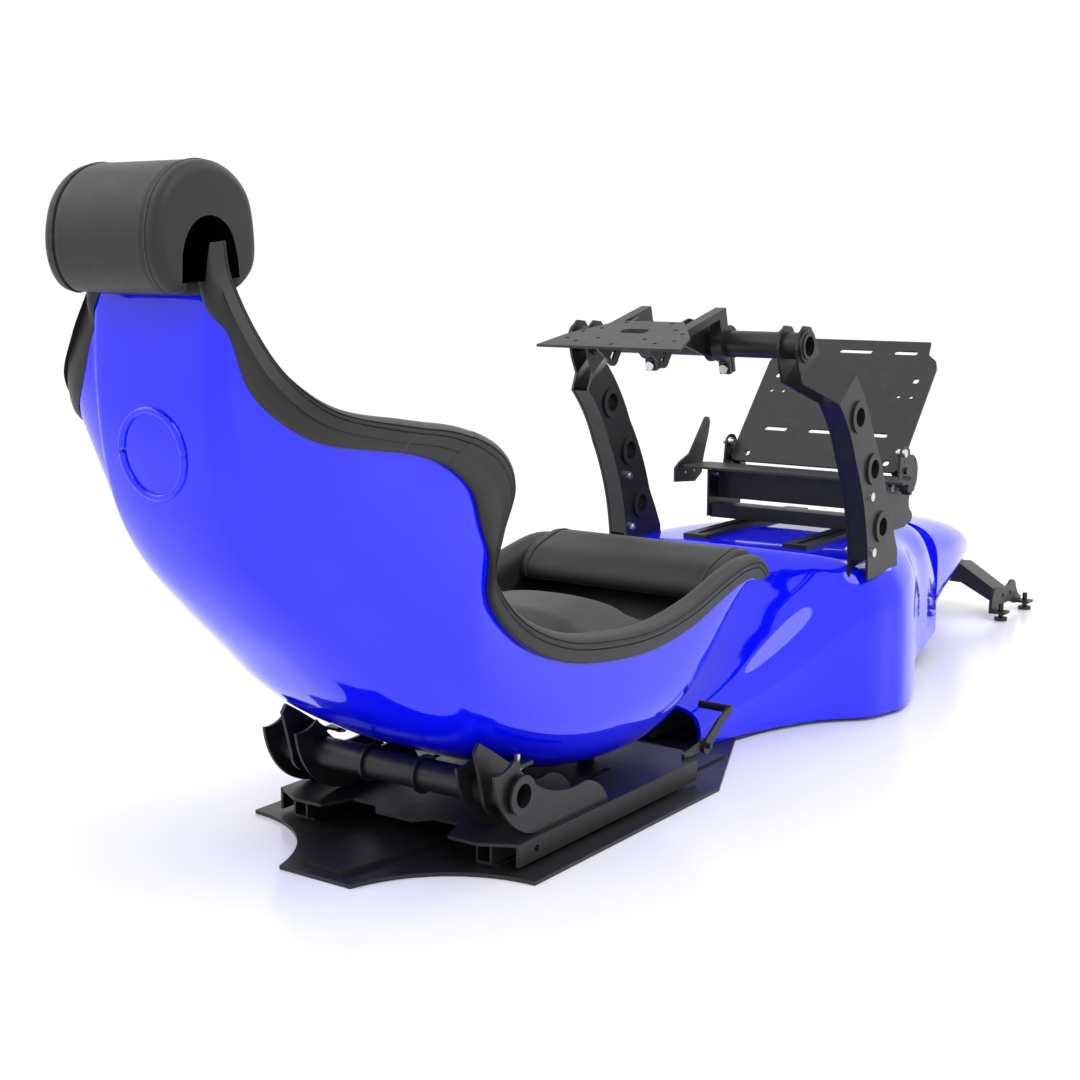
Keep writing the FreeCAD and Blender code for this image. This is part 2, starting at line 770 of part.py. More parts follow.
CROSS_TUBE_END = 209
cross_tube = ring(
    "cross_tube_body", cell("cross_tube_y"), cell("cross_tube_z"), str(-CROSS_TUBE_END),
    cell("tube_diameter"), cell("tube_bore"), str(2 * CROSS_TUBE_END),
)
tube_flanges = []
for index, low_x in enumerate((-207, -168, 164, 203)):
    tube_flanges.append(ring(
        f"cross_tube_flange_{index}", cell("cross_tube_y"), cell("cross_tube_z"),
        str(low_x), cell("flange_diameter"), cell("tube_diameter"), cell("flange_thickness"),
    ))
finish(fuse("cross_tube_welded", [cross_tube] + tube_flanges), "cross_tube")

# ---------------------------------------------------------------- wheel deck

# The wheel plate is drawn flat about the cross tube's axis and tilted with its Placement.
WHEEL_HALF = [(123, -222), (106, -164), (56, -93)]
WHEEL_HOLES = [(x, y) for x in (-40, 40) for y in (-101, -181)]
WHEEL_HOLES += [(side * x, y) for side in (-1, 1) for x, y in ((86, -151), (92, -185), (68, -199))]
WHEEL_HOLES += [(0, -209), (-64, -133), (64, -133)]


def tilt_about_tube(item):
    """Turns a deck piece, drawn about the cross tube's axis, to the deck's resting tilt."""
    item.Placement = Placement(Vector(0, 0, 0), Rotation(Vector(1, 0, 0), size("wheel_deck_tilt")))
    item.setExpression("Placement.Base.y", f"{cell('cross_tube_y')} + {cell('datum_y')}")
    item.setExpression("Placement.Base.z", cell("cross_tube_z"))


def deck_part(item, label):
    item.Label = label
    tilt_about_tube(item)
    parts.append(item)


wheel_outline = [(x, y) for x, y in WHEEL_HALF] + [(-x, y) for x, y in reversed(WHEEL_HALF)]
small_holes = [(centre, "6.6") for centre in WHEEL_HOLES]
deck_part(flat_plate(
    "wheel_plate_body", "XY_Plane", cell("wheel_plate_rise"), wheel_outline,
    cell("plate_thickness"), holes=small_holes, slots=[((-13, -143), (13, -143), 20)],
), "wheel_plate")

BRACKET_OUTLINE = [
    (-196, 56.4),
    (-158, 18),
    ("arc", (-146, 6), (-132, 12)),
    (-104, 34),
    (-24.2, -14),
    ("arc", (14, -24.2), (19.8, 19.8)),
    (-60, 56.4),
]
for side_name, side in SIDES:
    bracket = side_plate(
        f"wheel_bracket_{side_name}_body", side, cell("wheel_bracket_x"), BRACKET_OUTLINE,
        cell("plate_thickness"),
        holes=[((0, 0), f"{cell('tube_diameter')} + 2 * {cell('bearing_gap')}")],
        slots=[((-148, 20), (-134, 33), 8)],
    )
    deck_part(bracket, f"wheel_bracket_{side_name}")

clamps = []
for side_name, side in SIDES:
    low_x = f"{side} * {cell('wheel_clamp_x')} - 9"
    blocks = [
        cylinder(f"clamp_ring_{side_name}", (low_x, "0", "0"), (1, 0, 0), "56", "18"),
        box(f"clamp_post_{side_name}", (low_x, "-22", "0"), ("18", "22", cell("wheel_plate_rise"))),
        box(
            f"clamp_arm_{side_name}", (low_x, "-156", f"{cell('wheel_plate_rise')} - 12"),
            ("18", "156", "12"),
        ),
        box(f"clamp_ear_{side_name}", (low_x, "-9", "-46"), ("18", "18", "36")),
    ]
    body = fuse(f"clamp_body_{side_name}", blocks)
    bore = cylinder(
        f"clamp_bore_{side_name}", (f"{low_x} - 1", "0", "0"), (1, 0, 0),
        f"{cell('tube_diameter')} + 2 * {cell('bearing_gap')}", "20",
    )
    split = box(f"clamp_split_{side_name}", (f"{low_x} - 1", "-1.5", "-47"), ("20", "3", "36"))
    bolt_hole = cylinder(
        f"clamp_bolt_hole_{side_name}", (f"{low_x} + 9", "-10", "-37"), (0, 1, 0),
        f"{cell('bolt_shank')} + 0.4", "20",
    )
    tools = fuse(f"clamp_tools_{side_name}", [bore, split, bolt_hole])
    clamps.append(cut(f"wheel_clamp_{side_name}", body, tools))
deck_part(group("wheel_clamps", clamps), "wheel_clamps")

clamp_bolts = []
for side_name, side in SIDES:
    centre_x = f"{side} * {cell('wheel_clamp_x')}"
    head = cylinder(
        f"clamp_bolt_head_{side_name}", (centre_x, "-14", "-37"), (0, 1, 0), cell("bolt_head"), "5"
    )
    shank = cylinder(
        f"clamp_bolt_shank_{side_name}", (centre_x, "-14", "-37"), (0, 1, 0),
        cell("bolt_shank"), "28",
    )
    clamp_bolts.append(fuse(f"clamp_bolt_{side_name}", [head, shank]))
deck_part(group("wheel_clamp_bolts", clamp_bolts), "wheel_clamp_bolts")

# ---------------------------------------------------------------- front body

# Stations of the body: y, half width at the bottom, top z, bottom z, squareness.
BODY_STATIONS = [
    (596, 112, 66, 6, 4.0),
    (700, 136, 108, 6, 4.0),
    (780, 166, 158, 6, 4.2),
    (840, 198, 206, 6, 4.8),
    (893, 246, 256, 6, 6.0),
    (940, 262, 259, 6, 7.0),
    (990, 268, 259, 6, 7.0),
    (1080, 246, 259, 16, 7.0),
    (1200, 196, 259, 30, 6.0),
    (1310, 172, 257, 38, 5.5),
    (1400, 152, 246, 44, 3.6),
]
NOSE_STATIONS = [
    (1400, 152, 246, 44, 3.6),
    (1540, 132, 232, 84, 2.8),
    (1660, 104, 210, 104, 2.4),
    (1750, 76, 184, 108, 2.2),
    (1810, 52, 160, 108, 2.1),
    (1848, 24, 132, 106, 2.0),
]


def body_curve(station, inset, closed):
    """A superellipse section of the front body: an arch open below, or a closed ring."""
    y, half_width, top, bottom, power = station
    half_width -= inset
    top -= inset
    middle = (top + bottom) / 2 if closed else bottom
    points = []
    steps = 12 if closed else 30
    first = -steps if closed else 0
    for step in range(first, steps + 1):
        angle = math.pi * step / steps
        x = math.copysign(abs(math.cos(angle)) ** (2 / power), math.cos(angle)) * half_width
        z = math.copysign(abs(math.sin(angle)) ** (2 / power), math.sin(angle)) * (top - middle)
        points.append(Vector(x, y, middle + z))
    return points


def arch_wire(station, inset, drop):
    """A section of the fairing, open legs down; drop carries the legs below its lower edge."""
    points = body_curve(station, inset, False)
    if drop:
        points = [points[0] - Vector(0, 0, drop)] + points + [points[-1] - Vector(0, 0, drop)]
    return Part.makePolygon(points + [points[0]])


def ring_wire(station, inset):
    y, half_width, top, bottom, power = station
    curve = Part.BSplineCurve()
    shrunk = (y, half_width - inset, top - inset, bottom + inset, power)
    curve.interpolate(Points=body_curve(shrunk, 0, True)[:-1], PeriodicFlag=True)
    return Part.Wire([curve.toShape()])


wall = size("fairing_wall")
outer_body = lofted([arch_wire(station, 0, 0) for station in BODY_STATIONS], ruled=True)
inner_stations = [(BODY_STATIONS[0][0] - 1,) + BODY_STATIONS[0][1:]] + BODY_STATIONS[1:]
inner_stations[-1] = (inner_stations[-1][0] + 1,) + inner_stations[-1][1:]
inner_body = lofted([arch_wire(station, wall, 20) for station in inner_stations], ruled=True)
fairing = outer_body.cut(inner_body)
arm_low = size("arm_outer_x") - size("arm_width")
for side_name, side in SIDES:
    corner = Vector(arm_low - 1 if side > 0 else -size("arm_outer_x") - 1, 885, 200)
    fairing = fairing.cut(Part.makeBox(size("arm_width") + 2, 117, 80, corner))
shape_part("fairing_shell", fairing)

nose_outer = lofted([ring_wire(station, 0) for station in NOSE_STATIONS], ruled=True)
nose_inner = lofted([ring_wire(station, wall) for station in NOSE_STATIONS[:-1]], ruled=True)
leg_passage = Part.makeBox(44, 26, 60, Vector(-22, 1784, 80))
shape_part("nose_cone", nose_outer.cut(nose_inner).cut(leg_passage))

for side_name, side in SIDES:
    rail = flat_plate(
        f"pedal_rail_{side_name}_body", "XY_Plane", cell("deck_z"),
        [
            (side * 94 - 22, 925), (side * 94 + 22, 925),
            (side * 94 + 22, 1310), (side * 94 - 22, 1310),
        ],
        cell("rail_height"),
        slots=[((side * 94, 945), (side * 94, 1290), 11)],
    )
    finish(rail, f"pedal_rail_{side_name}")

# ---------------------------------------------------------------- pedal carriage

SIDE_OUTLINE = [
    (1103, 268),
    (1103, 356),
    (1160, 356),
    (1166, 396),
    ("arc", (1186, 410), (1206, 392)),
    ("arc", (1236, 378), (1240, 356)),
    ("arc", (1236, 340), (1216, 328)),
    ("arc", (1206, 312), (1218, 292)),
    ("arc", (1222, 280), (1208, 274)),
    (1190, 268),
]
SIDE_BOLTS = [(1176, 398), (1126, 344), (1130, 282)]
KNOB_CENTRE = (1162, 345)
clear_hole = f"{cell('bolt_shank')} + 0.4"
pedal_bolts = []
for side_name, side in SIDES:
    holes = [(centre, clear_hole) for centre in SIDE_BOLTS]
    holes.append(((1188, 366), f"12 + 2 * {cell('bearing_gap')}"))
    if side > 0:
        holes.append((KNOB_CENTRE, f"{cell('bolt_shank')} + 2 * {cell('bearing_gap')}"))
    plate = side_plate(
        f"pedal_side_{side_name}_body", side, cell("pedal_side_x"), SIDE_OUTLINE,
        cell("plate_thickness"), holes=holes,
    )
    finish(plate, f"pedal_side_{side_name}")
    for index, centre in enumerate(SIDE_BOLTS[:2]):
        name = f"pedal_bolt_{side_name}_{index}"
        pedal_bolts.append(
            bolt(name, side, cell("pedal_side_x"), centre, cell("plate_thickness"))
        )
finish(group("pedal_side_bolts", pedal_bolts), "pedal_side_bolts")

inner_half = f"({cell('pedal_side_x')} - {cell('plate_thickness')})"
bar_low = f"{cell('deck_z')} + {cell('rail_height')} + {cell('slide_gap')}"
bar_outside = box(
    "pedal_bar_outside", (f"0 - {inner_half}", "1108", bar_low), (f"2 * {inner_half}", "40", "24")
)
bar_inside = box(
    "pedal_bar_inside", (f"0 - {inner_half}", "1111", f"{bar_low} + 3"),
    (f"2 * {inner_half}", "34", "18"),
)
finish(cut("pedal_cross_bar", bar_outside, bar_inside), "pedal_cross_bar")

rod = cylinder(
    "pedal_cross_rod", (f"0 - {inner_half}", "1152", "310"), (1, 0, 0),
    cell("rod_diameter"), f"2 * {inner_half}",
)
finish(rod, "pedal_cross_rod")

shelf_flange = box(
    "heel_shelf_flange", (f"0 - {inner_half}", "1136", "299"), (f"2 * {inner_half}", "4", "57")
)

shelf = flat_plate(
    "heel_shelf_body", "XY_Plane", "356",
    [(-214, 1078), (214, 1078), (214, 1112), (178, 1136), (166, 1156), (-196, 1156), (-214, 1140)],
    cell("plate_thickness"),
)
finish(fuse("heel_shelf_folded", [shelf, shelf_flange]), "heel_shelf")

SWITCH_BRACKET = [
    (1062, 331), (1062, 356), (1078, 366), (1113, 378), (1164, 434),
    ("arc", (1176, 440), (1184, 426)),
    (1178, 404), (1166, 376), (1157, 350), (1157, 339), (1132, 325),
]
switch_bracket = side_plate(
    "switch_bracket_body", -1, f"{cell('shelf_half_width')} + {cell('plate_thickness')}",
    SWITCH_BRACKET, cell("plate_thickness"),
    holes=[((1100, 345), "8"), ((1132, 345), "8"), ((1120, 366), "5"), ((1140, 392), "6")],
    slots=[((1154, 404), (1170, 424), 6)],
)
finish(switch_bracket, "side_bracket")

KNOB_LENGTH = 16
knob_x = f"{cell('pedal_side_x')} + 6"
knob_y, knob_z = (str(value) for value in KNOB_CENTRE)
knob_core = cylinder("knob_core", (knob_x, knob_y, knob_z), (1, 0, 0), "32", str(KNOB_LENGTH))
scallops = []
for index in range(6):
    angle = math.radians(60 * index)
    scallop_y = f"{knob_y} + 19 * {math.cos(angle):.4f}"
    scallop_z = f"{knob_z} + 19 * {math.sin(angle):.4f}"
    scallops.append(cylinder(
        f"knob_scallop_{index}", (f"{knob_x} - 1", scallop_y, scallop_z), (1, 0, 0),
        "13", str(KNOB_LENGTH + 2),
    ))
knob_head = cut("knob_head", knob_core, fuse("knob_scallops", scallops))
knob_stud = cylinder(
    "knob_stud", (f"{knob_x} - 22", knob_y, knob_z), (1, 0, 0), cell("bolt_shank"), "30"
)
finish(fuse("star_knob", [knob_head, knob_stud]), "star_knob")

# ---------------------------------------------------------------- pedal plate


def pedal_part(item, label):
    """Turns a piece drawn about the pedal hinge's axis to the plate's resting tilt."""
    item.Label = label
    tilt = 90 - size("pedal_plate_tilt")
    item.Placement = Placement(Vector(0, 0, 0), Rotation(Vector(1, 0, 0), tilt))
    item.setExpression("Placement.Base.y", f"{cell('pedal_hinge_y')} + {cell('datum_y')}")
    item.setExpression("Placement.Base.z", cell("pedal_hinge_z"))
    parts.append(item)


PLATE_HALF = [(156, -12), (166, -2), (166, 216), (160, 232), (142, 246), (138, 274)]
pedal_outline = PLATE_HALF + [(-x, y) for x, y in reversed(PLATE_HALF)]
pedal_holes = [((x, 150), "7") for x in (-138, -114, 114, 138)]
pedal_holes += [((x, y), "12") for x in (-136, 136) for y in (6, 186)]
pedal_slots = [((x - 18, y), (x + 18, y), 9) for x in (-98, 98) for y in (64, 248)]
pedal_slots += [((-28, y), (28, y), 9) for y in (64, 248)]
pedal_part(flat_plate(
    "pedal_plate_body", "XY_Plane", "7", pedal_outline, cell("plate_thickness"),
    holes=pedal_holes, slots=pedal_slots,
), "pedal_plate")

hinge_pins = [
    cylinder(f"pedal_hinge_pin_{side_name}", (str(side * 148), "0", "0"), (side, 0, 0), "12", "28")
    for side_name, side in SIDES
]
lugs = [
    box(f"pedal_hinge_lug_{side_name}", (str(side * 156 - 8), "-9", "-9"), ("16", "30", "16"))
    for side_name, side in SIDES
]
pedal_part(fuse("pedal_hinge", hinge_pins + lugs), "pedal_hinge")

# ---------------------------------------------------------------- front leg

leg_rear = f"0 - ({cell('leg_y')} - {cell('leg_depth')} / 2)"
LEG_HALF = [(50, 62), (130, 22), (130, 50), (50, 100)]
leg = flat_plate(
    "front_leg_body", "XZ_Plane", leg_rear,
    LEG_HALF + [(-x, z) for x, z in reversed(LEG_HALF)], cell("leg_depth"), backward=True,
)
finish(leg, "front_leg")

FOOT_OUTLINE = [
    (1734, 14),
    (1770, 14),
    ("arc", (1818, 24), (1866, 14)),
    (1904, 14),
    (1904, 24),
    ("arc", (1886, 34), (1872, 50)),
    ("arc", (1856, 66), (1838, 62)),
    ("arc", (1808, 56), (1778, 64)),
    ("arc", (1752, 60), (1734, 34)),
]
FOOT_PLACES = (("rear", 1750), ("front", 1889))
for side_name, side in SIDES:
    plate = side_plate(
        f"foot_bracket_plate_{side_name}", side, f"{cell('leg_half_span')} + 6", FOOT_OUTLINE,
        "6", holes=[((1796, 42), "9"), ((1838, 42), "9")],
    )
    tabs = []
    for place, foot_y in FOOT_PLACES:
        low_x = f"{side} * ({cell('leg_half_span')} + 18) - 15"
        block = box(f"foot_tab_{side_name}_{place}", (low_x, str(foot_y - 14), "14"), ("30", "28", "5"))
        bore = cylinder(
            f"foot_tab_bore_{side_name}_{place}",
            (f"{side} * ({cell('leg_half_span')} + 20)", str(foot_y), "10"), (0, 0, 1),
            f"{cell('foot_stud')} + 2 * {cell('bearing_gap')}", "12",
        )
        tabs.append(cut(f"foot_tab_{side_name}_{place}_bored", block, bore))
    finish(fuse(f"foot_bracket_{side_name}", [plate] + tabs), f"foot_bracket_{side_name}")
    for place, foot_y in FOOT_PLACES:
        name = f"levelling_foot_{side_name}_{place}"
        centre = (f"{side} * ({cell('leg_half_span')} + 20)", str(foot_y))
        pad_disc = cylinder(name + "_pad", centre + ("0",), (0, 0, 1), cell("foot_pad"), "6")
        stud = cylinder(name + "_stud", centre + ("0",), (0, 0, 1), cell("foot_stud"), "34")
        finish(fuse(name, [pad_disc, stud]), name)

doc.recompute()


def sound(item):
    """True when the sub-part and what it is built from are recomputed and valid."""
    failed = [obj.Name for obj in doc.Objects if {"Invalid", "Error"} & set(obj.State)]
    if failed:
        raise RuntimeError(f"failed objects: {failed}")
    return not item.Shape.isNull() and item.Shape.isValid() and item.Shape.Volume > 0


os.makedirs("parts", exist_ok=True)
for item in parts:
    if not sound(item):
        raise RuntimeError(f"bad shape: {item.Label}")
for item in parts:
    item.Shape.exportStep(f"parts/{item.Label}.step")
print(len(parts), "parts written")
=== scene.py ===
import json
import math

import bpy
import numpy as np
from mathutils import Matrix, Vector


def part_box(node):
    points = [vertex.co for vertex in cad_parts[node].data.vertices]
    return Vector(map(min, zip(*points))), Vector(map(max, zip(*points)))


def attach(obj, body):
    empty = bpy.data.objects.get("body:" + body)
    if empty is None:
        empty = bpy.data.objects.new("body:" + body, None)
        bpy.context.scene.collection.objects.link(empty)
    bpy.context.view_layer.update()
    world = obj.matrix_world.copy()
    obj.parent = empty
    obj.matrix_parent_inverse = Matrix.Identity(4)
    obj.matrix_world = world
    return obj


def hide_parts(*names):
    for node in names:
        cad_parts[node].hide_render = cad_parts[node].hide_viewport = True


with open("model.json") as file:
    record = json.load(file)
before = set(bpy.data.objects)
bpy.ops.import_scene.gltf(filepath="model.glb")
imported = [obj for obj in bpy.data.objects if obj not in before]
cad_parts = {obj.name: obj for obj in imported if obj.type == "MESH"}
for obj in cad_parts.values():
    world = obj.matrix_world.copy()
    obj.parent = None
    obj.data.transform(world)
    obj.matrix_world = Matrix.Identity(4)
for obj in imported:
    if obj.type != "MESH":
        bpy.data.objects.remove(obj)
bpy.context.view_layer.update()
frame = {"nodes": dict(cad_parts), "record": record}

# Pieces are drawn in chassis millimetres, as the CAD source is: y = 0 is the floor plate's
# rear corners, which lie FLOOR_TAIL in front of the plate's rearmost point.
FLOOR_TAIL = 134
CHASSIS_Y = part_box("floor_plate")[0].y * 1000 + FLOOR_TAIL
RIGHT, LEFT = 1, -1


def to_metres(points):
    """Chassis millimetres to metres in the row frame."""
    moved = np.array(points, float) + np.array([0, CHASSIS_Y, 0])
    return moved / 1000


# ------------------------------------------------------------------ materials

class Nodes:
    """A small helper for building a procedural material."""

    def __init__(self, name):
        self.material = bpy.data.materials.new(name)
        self.material.use_nodes = True
        self.tree = self.material.node_tree
        self.shader = self.tree.nodes["Principled BSDF"]
        self.position = self.add("ShaderNodeTexCoord").outputs["Object"]

    def add(self, kind, **inputs):
        node = self.tree.nodes.new(kind)
        for key, value in inputs.items():
            self.feed(node, key.replace("_", " "), value)
        return node

    def feed(self, node, socket, value):
        if isinstance(value, bpy.types.NodeSocket):
            self.tree.links.new(value, node.inputs[socket])
        else:
            node.inputs[socket].default_value = value

    def noise(self, scale, detail=3.0):
        node = self.add("ShaderNodeTexNoise", Vector=self.position, Scale=scale, Detail=detail)
        return node.outputs["Fac"]

    def cells(self, scale):
        node = self.add("ShaderNodeTexVoronoi", Vector=self.position, Scale=scale)
        node.feature = "DISTANCE_TO_EDGE"
        return node.outputs["Distance"]

    def ramp(self, value, low, high, from_low=0.0, from_high=1.0):
        node = self.add("ShaderNodeMapRange", Value=value)
        for socket, number in zip(range(1, 5), (from_low, from_high, low, high)):
            node.inputs[socket].default_value = number
        return node.outputs["Result"]

    def blend(self, share, first, second):
        node = self.tree.nodes.new("ShaderNodeMix")
        node.data_type = "RGBA"
        self.feed(node, 0, share)
        self.feed(node, 6, first)
        self.feed(node, 7, second)
        return node.outputs[2]

    def product(self, first, second):
        node = self.tree.nodes.new("ShaderNodeMath")
        node.operation = "MULTIPLY"
        self.feed(node, 0, first)
        self.feed(node, 1, second)
        return node.outputs[0]

    def bump(self, height, strength, distance, below=None):
        node = self.add("ShaderNodeBump", Height=height, Strength=strength, Distance=distance)
        if below is not None:
            self.tree.links.new(below, node.inputs["Normal"])
        return node.outputs["Normal"]

    def finish(self, **inputs):
        for key, value in inputs.items():
            self.feed(self.shader, key.replace("_", " "), value)
        return self.material


def grey(value, blue=1.0):
    return (value, value, value * blue, 1.0)


GRAIN_SCALE = 620.0


def leather_material(name, dark, light):
    """Fine grained leather: pebbles with painted shade in the valleys between them, broad tone
    changes and a little sheen.
    """
    n = Nodes(name)
    pebbles = n.ramp(n.cells(GRAIN_SCALE), 0.0, 1.0, 0.0, 0.35)
    creases = n.noise(90.0, 6.0)
    tone = n.blend(n.noise(9.0, 4.0), grey(dark), grey(light))
    # painted shade: the colour darkens towards the cell edges, the valleys of the pebble grain
    tone = n.blend(n.ramp(n.cells(GRAIN_SCALE), 0.5, 0.0, 0.0, 0.12), tone, grey(dark * 0.45))
    fine = n.bump(pebbles, 0.22, 0.0004)
    normal = n.bump(creases, 0.12, 0.0012, fine)
    rough = n.ramp(n.noise(40.0), 0.44, 0.58)
    return n.finish(Base_Color=tone, Roughness=rough, Normal=normal,
                    Specular_IOR_Level=0.42, Sheen_Weight=0.12, Sheen_Roughness=0.4)


def gelcoat_material():
    """Glossy coloured gelcoat with faint orange peel, a slow waviness and patchy roughness."""
    n = Nodes("blue_gelcoat")
    tone = n.blend(n.noise(3.0), (0.001, 0.003, 0.90, 1.0), (0.002, 0.006, 0.97, 1.0))
    peel = n.bump(n.noise(140.0, 1.0), 0.018, 0.0006)
    wave = n.bump(n.noise(9.0, 1.0), 0.02, 0.004, peel)
    rough = n.ramp(n.noise(26.0, 5.0), 0.035, 0.075)
    return n.finish(Base_Color=tone, Roughness=rough, Normal=wave,
                    Specular_IOR_Level=0.5, Coat_Weight=0.2, Coat_Roughness=0.02)


def coated_steel_material(name, dark, light, rough_low=0.34, rough_high=0.5):
    """Powder-coated sheet steel: fine texture, and paint rubbed thin along its edges."""
    n = Nodes(name)
    geometry = n.add("ShaderNodeNewGeometry")
    edge = n.ramp(geometry.outputs["Pointiness"], 0.0, 1.0, 0.53, 0.62)
    rubbed = n.product(edge, n.ramp(n.noise(70.0, 5.0), 0.0, 0.3, 0.5, 0.75))
    tone = n.blend(n.noise(14.0, 5.0), grey(dark, 1.03), grey(light, 1.04))
    tone = n.blend(rubbed, tone, grey(light * 2.2))
    powder = n.bump(n.noise(1500.0, 2.0), 0.10, 0.0002)
    normal = n.bump(n.noise(30.0, 2.0), 0.03, 0.001, powder)
    rough = n.ramp(n.noise(60.0, 4.0), rough_low, rough_high)
    return n.finish(Base_Color=tone, Roughness=rough, Normal=normal,
                    Specular_IOR_Level=0.5, Metallic=0.0)


def bright_steel_material():
    """Zinc-plated steel with short brushed scratches."""
    n = Nodes("bright_steel")
    stretch = n.add("ShaderNodeMapping", Vector=n.position, Scale=(1.0, 18.0, 18.0))
    scratch = n.add("ShaderNodeTexNoise", Vector=stretch.outputs["Vector"], Scale=160.0)
    scratches = scratch.outputs["Fac"]
    tone = n.blend(n.noise(45.0), grey(0.52, 1.03), grey(0.74, 1.02))
    rough = n.ramp(scratches, 0.2, 0.4)
    return n.finish(Base_Color=tone, Roughness=rough, Metallic=1.0,
                    Normal=n.bump(scratches, 0.12, 0.0002))


def moulded_material(name, value, roughness):
    """Moulded plastic or rubber with a matt spark-eroded surface."""
    n = Nodes(name)
    tone = n.blend(n.noise(30.0, 4.0), grey(value * 0.8), grey(value * 1.3))
    normal = n.bump(n.noise(900.0, 2.0), 0.2, 0.0003)
    rough = n.ramp(n.noise(80.0), roughness - 0.08, roughness + 0.08)
    return n.finish(Base_Color=tone, Roughness=rough, Normal=normal)


MATERIALS = {
    "black_steel": coated_steel_material("black_steel", 0.005, 0.009),
    "grey_steel": coated_steel_material("grey_steel", 0.026, 0.036, 0.42, 0.58),
    "plate_steel": coated_steel_material("plate_steel", 0.014, 0.020, 0.40, 0.55),
    "bright_steel": bright_steel_material(),
    "blue_gelcoat": gelcoat_material(),
    "charcoal_leather": leather_material("charcoal_leather", 0.011, 0.017),
    "piping_leather": leather_material("piping_leather", 0.022, 0.032),
    "stitch_thread": moulded_material("stitch_thread", 0.05, 0.6),
    "black_rubber": moulded_material("black_rubber", 0.012, 0.7),
    "black_plastic": moulded_material("black_plastic", 0.012, 0.5),
}


# ------------------------------------------------------------------ CAD pieces

PLATE_NODES = ("pedal_plate", "heel_shelf")
EDGE_BREAK = 0.0007
EDGE_ANGLE = math.radians(40)
for entry in frame["record"]["subparts"]:
    node = frame["nodes"][entry["node"]]
    chosen = "plate_steel" if entry["node"] in PLATE_NODES else entry["material_slot"]
    node.data.materials.clear()
    node.data.materials.append(MATERIALS[chosen])
    bevel = node.modifiers.new("edge_break", "BEVEL")
    bevel.width = EDGE_BREAK
    bevel.segments = 2
    bevel.limit_method = "ANGLE"
    bevel.angle_limit = EDGE_ANGLE
    bevel.harden_normals = True
    for face in node.data.polygons:
        face.use_smooth = True
    node.data.set_sharp_from_angle(angle=EDGE_ANGLE)


# ------------------------------------------------------------------ mesh helpers

def mesh_piece(name, vertices, faces, material, body, sharp=50):
    """A smooth-shaded mesh in chassis millimetres that rides on a CAD body."""
    mesh = bpy.data.meshes.new(name)
    mesh.from_pydata(to_metres(vertices).tolist(), [], faces)
    mesh.materials.append(MATERIALS[material])
    for face in mesh.polygons:
        face.use_smooth = True
    mesh.set_sharp_from_angle(angle=math.radians(sharp))
    piece = bpy.data.objects.new(name, mesh)
    bpy.context.scene.collection.objects.link(piece)
    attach(piece, body)
    return piece


def swept_faces(rings, around):
    """Faces of a tube made of closed rings, with a flat face on each end."""
    faces = []
    for ring in range(rings - 1):
        for step in range(around):
            after = (step + 1) % around
            a, b = ring * around + step, ring * around + after
            faces.append((a, b, b + around, a + around))
    faces.append(tuple(reversed(range(around))))
    faces.append(tuple(range((rings - 1) * around, rings * around)))
    return faces


def swept_piece(name, sections, material, body, sharp=50):
    """A closed solid through equal closed sections."""
    sections = np.array(sections, float)
    rings, around = sections.shape[:2]
    faces = swept_faces(rings, around)
    return mesh_piece(name, sections.reshape(-1, 3), faces, material, body, sharp)


def spline_rows(rows, samples):
    """Catmull-Rom interpolation of table rows at fractional row numbers."""
    rows = np.array(rows, float)
    last = len(rows) - 1
    made = []
    for value in samples:
        low = min(int(value), last - 1)
        t = value - low
        p0 = rows[max(low - 1, 0)]
        p1, p2 = rows[low], rows[low + 1]
        p3 = rows[min(low + 2, last)]
        made.append(0.5 * (2 * p1 + (p2 - p0) * t + (2 * p0 - 5 * p1 + 4 * p2 - p3) * t ** 2
                           + (3 * p1 - p0 - 3 * p2 + p3) * t ** 3))
    return np.array(made)


def smooth_step(value, low, high):
    share = min(1.0, max(0.0, (value - low) / (high - low)))
    return share * share * (3 - 2 * share)


def tube_along(path, radius, sides=8):
    """Closed rings of a round tube along a path of points."""
    path = np.array(path, float)
    tangents = np.gradient(path, axis=0)
    rings = []
    up = np.array([0.0, 0.0, 1.0])
    for point, tangent in zip(path, tangents):
        tangent = tangent / np.linalg.norm(tangent)
        side = np.cross(tangent, up)
        if np.linalg.norm(side) < 0.1:
            side = np.cross(tangent, np.array([1.0, 0.0, 0.0]))
        side /= np.linalg.norm(side)
        lift = np.cross(side, tangent)
        rings.append([
            point + radius * (math.cos(a) * side + math.sin(a) * lift)
            for a in np.linspace(0, 2 * math.pi, sides, endpoint=False)
        ])
    return rings


STITCH_PITCH = 6.5
STITCH_LENGTH = 4.2
STITCH_RADIUS = 0.45


def stitch_mesh(paths):
    """Vertices and faces of a row of small thread stitches along each path."""
    vertices, faces = [], []
    for path in paths:
        path = np.array(path, float)
        steps = np.linalg.norm(np.diff(path, axis=0), axis=1)
        reach = np.concatenate([[0], np.cumsum(steps)])
        for start in np.arange(STITCH_PITCH, reach[-1] - STITCH_PITCH, STITCH_PITCH):
            spots = [start, start + STITCH_LENGTH * 0.25, start + STITCH_LENGTH * 0.75,
                     start + STITCH_LENGTH]
            line = [[np.interp(s, reach, path[:, k]) for k in range(3)] for s in spots]
            rings = np.array(tube_along(line, STITCH_RADIUS, 6))
            rings[0] = rings[0].mean(axis=0) + (rings[0] - rings[0].mean(axis=0)) * 0.2
            rings[-1] = rings[-1].mean(axis=0) + (rings[-1] - rings[-1].mean(axis=0)) * 0.2
            offset = len(vertices)
            vertices += rings.reshape(-1, 3).tolist()
            faces += [tuple(offset + i for i in face) for face in swept_faces(4, 6)]
    return vertices, faces


# ------------------------------------------------------------------ bucket surface

